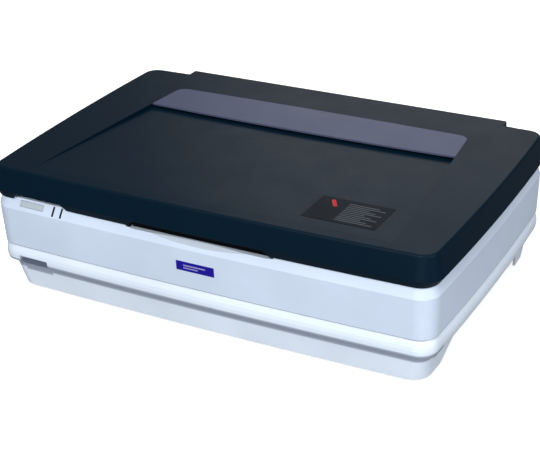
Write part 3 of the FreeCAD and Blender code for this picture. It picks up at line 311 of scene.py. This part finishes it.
def plastic(
    name, colour, roughness, grain=1400.0, depth=0.03 * MM, shade=0.05, specular=0.5, shade_boxes=(), scoop=False
):
    """Moulded plastic: grain, handling marks, fine scratches, uneven gloss, and painted shade over the given
    boxes and on the finger grip's upward-facing floor.
    """
    material, shader, tree = new_material(name)
    marks = noise(tree, 9.0, 5.0)
    surface = blend_colours(tree, remap(tree, marks, 0, 1), tint(colour, 1 - shade), tint(colour, 1 + shade))
    # Painted shade over each given box
    for low, high, edge, shaded in shade_boxes:
        surface = blend_colours(tree, box_mask(tree, low, high, edge), surface, shaded)
    # Painted shade on the upward-facing floor of the finger grip's scoop
    if scoop:
        near_scoop = box_mask(tree, SCOOP_LOW, SCOOP_HIGH, SCOOP_EDGE)
        scoop_floor_shade = math_node(tree, "MULTIPLY", upward_mask(tree), near_scoop)
        surface = blend_colours(tree, scoop_floor_shade, surface, SCOOP_FLOOR_SHADE)
    join(tree, surface, shader.inputs["Base Color"])
    gloss = remap(tree, noise(tree, 23.0, 6.0), roughness - 0.02, roughness + 0.02)
    scratches = remap(tree, noise(tree, 1500.0, 2.0, (0.08, 1.0, 1.0)), -0.03, 0.05, 0.35, 0.75)
    join(tree, math_node(tree, "ADD", gloss, scratches), shader.inputs["Roughness"])
    bump(tree, shader, noise(tree, grain, 3.0), depth)
    shader.inputs["Specular IOR Level"].default_value = specular
    return material


def metal(name, colour, roughness, stretch=None, depth=0.01 * MM):
    """Metal with rolling or turning marks along one direction."""
    material, shader, tree = new_material(name)
    shader.inputs["Metallic"].default_value = 1.0
    streaks = noise(tree, 300.0, 4.0, stretch)
    join(tree, blend_colours(tree, remap(tree, streaks, 0, 1), tint(colour, 0.9), tint(colour, 1.06)),
         shader.inputs["Base Color"])
    join(tree, remap(tree, streaks, roughness - 0.07, roughness + 0.09), shader.inputs["Roughness"])
    bump(tree, shader, streaks, depth)
    return material


def clear_glass(name):
    material, shader, tree = new_material(name)
    shader.inputs["Base Color"].default_value = (0.93, 0.97, 0.96, 1)
    shader.inputs["Transmission Weight"].default_value = 1.0
    shader.inputs["IOR"].default_value = 1.45
    join(tree, remap(tree, noise(tree, 14.0, 4.0), 0.0, 0.04), shader.inputs["Roughness"])
    return material


def make_materials():
    along_x = (0.04, 1.0, 1.0)
    return {
        "housing_plastic": plastic(
            "housing_plastic", WHITE_PLASTIC, 0.42, shade_boxes=upper_shade_boxes(), scoop=True
        ),
        "lower_plastic_lit": plastic("lower_plastic_lit", LOWER_WHITE_LIT, 0.42, shade_boxes=lower_shade_boxes()),
        "lid_plastic": plastic("lid_plastic", CHARCOAL, 0.40, shade=0.05, specular=0.07),
        "accent_plastic": plastic("accent_plastic", LAVENDER, 0.38, shade=0.04, specular=0.1),
        "label_film": plastic("label_film", (0.003, 0.006, 0.010, 1), 0.5, specular=0.06),
        "tray_plastic": plastic("tray_plastic", (0.0015, 0.002, 0.003, 1), 0.55, specular=0.05),
        "pad_foam": plastic("pad_foam", (0.60, 0.60, 0.58, 1), 0.9, grain=900.0, depth=0.4 * MM),
        "white_mat": plastic("white_mat", (0.80, 0.81, 0.80, 1), 0.5),
        "rubber": plastic("rubber", (0.012, 0.012, 0.013, 1), 0.75),
        "frame_plastic": plastic("frame_plastic", (0.45, 0.48, 0.53, 1), 0.5),
        "badge_plastic": plastic(
            "badge_plastic", (0.014, 0.008, 0.27, 1), 0.35, specular=0.1, depth=0.003 * MM
        ),
        "button_plastic": plastic("button_plastic", (0.44, 0.50, 0.55, 1), 0.4),
        "power_plastic": plastic("power_plastic", (0.10, 0.13, 0.18, 1), 0.45),
        "inner_plastic": plastic("inner_plastic", (0.014, 0.014, 0.016, 1), 0.55),
        "gear_plastic": plastic("gear_plastic", (0.70, 0.69, 0.64, 1), 0.35),
        "light_lens": plastic("light_lens", (0.010, 0.016, 0.028, 1), 0.15, depth=0.002 * MM),
        "board_laminate": plastic("board_laminate", (0.012, 0.09, 0.03, 1), 0.3),
        "lamp_glass": plastic("lamp_glass", (0.85, 0.86, 0.84, 1), 0.25, depth=0.002 * MM),
        "screw_steel": metal("screw_steel", (0.55, 0.55, 0.56, 1), 0.35),
        "polished_steel": metal("polished_steel", (0.72, 0.72, 0.73, 1), 0.12, along_x),
        "sheet_steel": metal("sheet_steel", (0.58, 0.59, 0.60, 1), 0.38, along_x),
        "port_metal": metal("port_metal", (0.66, 0.66, 0.64, 1), 0.28),
        "brass_metal": metal("brass_metal", (0.62, 0.45, 0.18, 1), 0.3),
        "motor_steel": metal("motor_steel", (0.09, 0.09, 0.10, 1), 0.45),
        "reflector_metal": metal("reflector_metal", (0.85, 0.85, 0.86, 1), 0.15, along_x),
        "mirror_glass": metal("mirror_glass", (0.88, 0.88, 0.88, 1), 0.08),
        "hinge_steel": metal("hinge_steel", (0.06, 0.06, 0.065, 1), 0.45),
        "clear_glass": clear_glass("clear_glass"),
        "grey_ink": plastic("grey_ink", (0.07, 0.08, 0.095, 1), 0.5, depth=0.003 * MM, specular=0.1),
        "red_ink": plastic("red_ink", (0.40, 0.02, 0.02, 1), 0.5, depth=0.003 * MM, specular=0.1),
        "pale_ink": plastic("pale_ink", (0.30, 0.29, 0.55, 1), 0.4, depth=0.003 * MM),
        "black_ink": plastic("black_ink", (0.015, 0.015, 0.017, 1), 0.5, depth=0.003 * MM),
    }


def parting_line():
    """Box of the painted shade line where the two halves of the housing meet, its soft edge and its colour.
    """
    low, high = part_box("upper_housing")
    start = (low.x - BOX_MARGIN, low.y - BOX_MARGIN, PARTING_Z[0])
    end = (high.x + BOX_MARGIN, high.y + BOX_MARGIN, PARTING_Z[1])
    return start, end, PARTING_EDGE, PARTING_SHADE


def upper_shade_boxes():
    """The painted shade line where the two halves meet and the painted deep shade at the two ends of the
    finger grip.
    """
    shade_boxes = [parting_line()]
    left_end = (SCOOP_LOW[0] - SCOOP_END, SCOOP_LOW[0] + SCOOP_EDGE)
    right_end = (SCOOP_HIGH[0], SCOOP_HIGH[0] + SCOOP_END)
    for x0, x1 in (left_end, right_end):
        start = (x0, SCOOP_LOW[1], SCOOP_HIGH[2] - SCOOP_EDGE)
        shade_boxes.append((start, (x1, SCOOP_HIGH[1], SCOOP_TOP_Z), SCOOP_EDGE, DEEP_SHADE))
    return shade_boxes


def lower_shade_boxes():
    """Boxes of painted shade on the lower housing: groove, notch and parting line, with their soft edges and
    colours, as its material sees them.
    """
    low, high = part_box("lower_housing")
    button_low, button_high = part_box("power_button")
    # Painted shade along the front: the groove, the skirt's top below it and the belly's lower curve above
    # it, then round the notch
    groove_low = (low.x - BOX_MARGIN, low.y - BOX_MARGIN, GROOVE_Z[0])
    groove_high = (high.x + BOX_MARGIN, low.y + GROOVE_DEPTH, GROOVE_Z[1])
    groove = (groove_low, groove_high, HOLLOW_EDGE, CREVICE_SHADE)
    notch_low = (button_low.x - NOTCH_MARGIN, low.y, GROOVE_Z[0] - NOTCH_MARGIN)
    notch_high = (button_high.x + NOTCH_MARGIN, low.y + GROOVE_DEPTH, button_high.z + NOTCH_MARGIN)
    return groove, (notch_low, notch_high, HOLLOW_EDGE, CREVICE_SHADE), parting_line()


def dress_nodes(materials):
    """Give every carried-over node its slot's finished material; the lower housing gets a lighter, bluer copy
    of the white plastic, which is painted light.
    """
    for part in frame["record"]["subparts"]:
        mesh = NODES[part["node"]].data
        mesh.materials.clear()
        name = "lower_plastic_lit" if part["node"] == "lower_housing" else part["material_slot"]
        mesh.materials.append(materials[name])


# Added pieces


def add_piece(name, mesh_data, material, body):
    """Object from (vertices, faces) that rides on a body."""
    mesh = bpy.data.meshes.new(name)
    mesh.from_pydata(mesh_data[0], [], mesh_data[1])
    mesh.materials.append(material)
    piece = bpy.data.objects.new(name, mesh)
    bpy.context.scene.collection.objects.link(piece)
    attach(piece, body)
    return piece


def rounded_ring(low, high, inset, z, corner):
    """Points round a rounded rectangle, with corners that tighten as it stands in."""
    corner = max(corner - inset * PAD_CORNER_SHRINK, PAD_CORNER_LEAST)
    points = []
    for quadrant, (x, y) in enumerate(((high.x, high.y), (low.x, high.y), (low.x, low.y), (high.x, low.y))):
        side_x = 1 if x == high.x else -1
        side_y = 1 if y == high.y else -1
        centre_x = x - side_x * (inset + corner)
        centre_y = y - side_y * (inset + corner)
        for step in range(PAD_CORNER_STEPS + 1):
            angle = math.radians(90.0 * (quadrant + step / PAD_CORNER_STEPS))
            points.append((centre_x + corner * math.cos(angle), centre_y + corner * math.sin(angle), z))
    return points


def foam_pad(materials):
    """Foam slab with rounded, slightly bulging sides and faces that dip a little towards their middle."""
    low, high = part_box("lid_foam_pad")
    thick = high.z - low.z
    bottom = [(inset, part) for inset, part in reversed(PAD_FACE_RINGS)]
    top = [(inset, 1.0 - part) for inset, part in PAD_FACE_RINGS]
    levels = bottom + list(PAD_PROFILE) + top
    points = []
    for inset, part in levels:
        points += rounded_ring(low, high, inset * MM, low.z + thick * part, PAD_CORNER)
    count = len(points) // len(levels)
    faces = [tuple(reversed(range(count)))]
    for level in range(len(levels) - 1):
        start = level * count
        for k in range(count):
            following = (k + 1) % count
            faces.append((start + k, start + following, start + count + following, start + count + k))
    faces.append(tuple(range(len(points) - count, len(points))))
    pad = add_piece("foam_pad_soft", (points, faces), materials["pad_foam"], "lid")
    for polygon in pad.data.polygons:
        polygon.use_smooth = True
    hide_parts("lid_foam_pad")


def add_slab(mesh_data, corners, lift):
    """Add a thin slab that stands by the vector lift over four corners, in order round it."""
    vertices, faces = mesh_data
    start = len(vertices)
    vertices += [tuple(corner) for corner in corners]
    vertices += [tuple(Vector(corner) + lift) for corner in corners]
    faces += [(start + 3, start + 2, start + 1, start), (start + 4, start + 5, start + 6, start + 7)]
    for k in range(4):
        following = (k + 1) % 4
        faces.append((start + k, start + following, start + 4 + following, start + 4 + k))


def label_print(materials):
    """Plain thin bars over the label's right part and a slanting red bar at its upper left."""
    low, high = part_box("lid_label")
    fall = (high.z - low.z - LABEL_FILM) / (high.y - low.y)

    def point(across, along):
        y = low.y + (high.y - low.y) * along
        return (low.x + (high.x - low.x) * across, y, high.z - fall * (y - low.y))

    ink = Vector((0, 0, INK))
    bars = ([], [])
    for row in range(LABEL_BAR_COUNT):
        near = LABEL_BARS_NEAR + LABEL_BARS_DEPTH * row / LABEL_BAR_COUNT
        far = near + LABEL_BAR_H
        end = LABEL_BARS_TO - LABEL_BARS_STEP * (row % 3)
        corners = ((LABEL_BARS_FROM, near), (end, near), (end, far), (LABEL_BARS_FROM, far))
        add_slab(bars, [point(across, along) for across, along in corners], ink)
    add_piece("label_bars", bars, materials["grey_ink"], "lid")
    slant = ([], [])
    add_slab(slant, [point(across, along) for across, along in LABEL_SLANT], ink)
    add_piece("label_slant_bar", slant, materials["red_ink"], "lid")


def badge_print(materials):
    """Two plain pale bars on the badge's front face."""
    faces = [face for face in NODES["badge_plate"].data.polygons if face.normal.y < -0.9]
    front = max(faces, key=lambda face: face.area)
    normal = front.normal.normalized()
    across = Vector((0, 0, 1)).cross(normal).normalized()
    up = normal.cross(across)
    low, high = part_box("badge_plate")
    middle = (low + high) / 2
    middle += normal * (front.center - middle).dot(normal)
    bars = ([], [])
    for left, right, bottom, top in BADGE_BARS:
        corners = []
        for u, v in ((left, bottom), (right, bottom), (right, top), (left, top)):
            corners.append(middle + across * u * MM + up * v * MM)
        add_slab(bars, corners, normal * INK)
    add_piece("badge_bars", bars, materials["pale_ink"], "base")


def platen_marks(materials):
    """Paper-size marks along the front and left edges of the platen's opening."""
    frame_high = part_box("platen_frame")[1]
    opening_low, opening_high = PLATEN_OPENING
    marks = ([], [])
    z = frame_high.z

    def mark(x0, x1, y0, y1):
        add_slab(marks, [(x0, y0, z), (x1, y0, z), (x1, y1, z), (x0, y1, z)], Vector((0, 0, INK)))

    edge_x = opening_low[0] - TICK_GAP
    edge_y = opening_low[1] - TICK_GAP
    for k in range(int((opening_high[0] - opening_low[0]) / TICK_PITCH) + 1):
        x = opening_low[0] + k * TICK_PITCH
        mark(x - TICK_W / 2, x + TICK_W / 2, edge_y - TICK_LENGTHS[k % 2], edge_y)
    for k in range(int((opening_high[1] - opening_low[1]) / TICK_PITCH) + 1):
        y = opening_low[1] + k * TICK_PITCH
        mark(edge_x - TICK_LENGTHS[k % 2], edge_x, y - TICK_W / 2, y + TICK_W / 2)
    add_piece("platen_marks", marks, materials["black_ink"], "base")


make_camera()
make_light()
make_floor()
MATERIALS = make_materials()
dress_nodes(MATERIALS)
foam_pad(MATERIALS)
label_print(MATERIALS)
badge_print(MATERIALS)
platen_marks(MATERIALS)
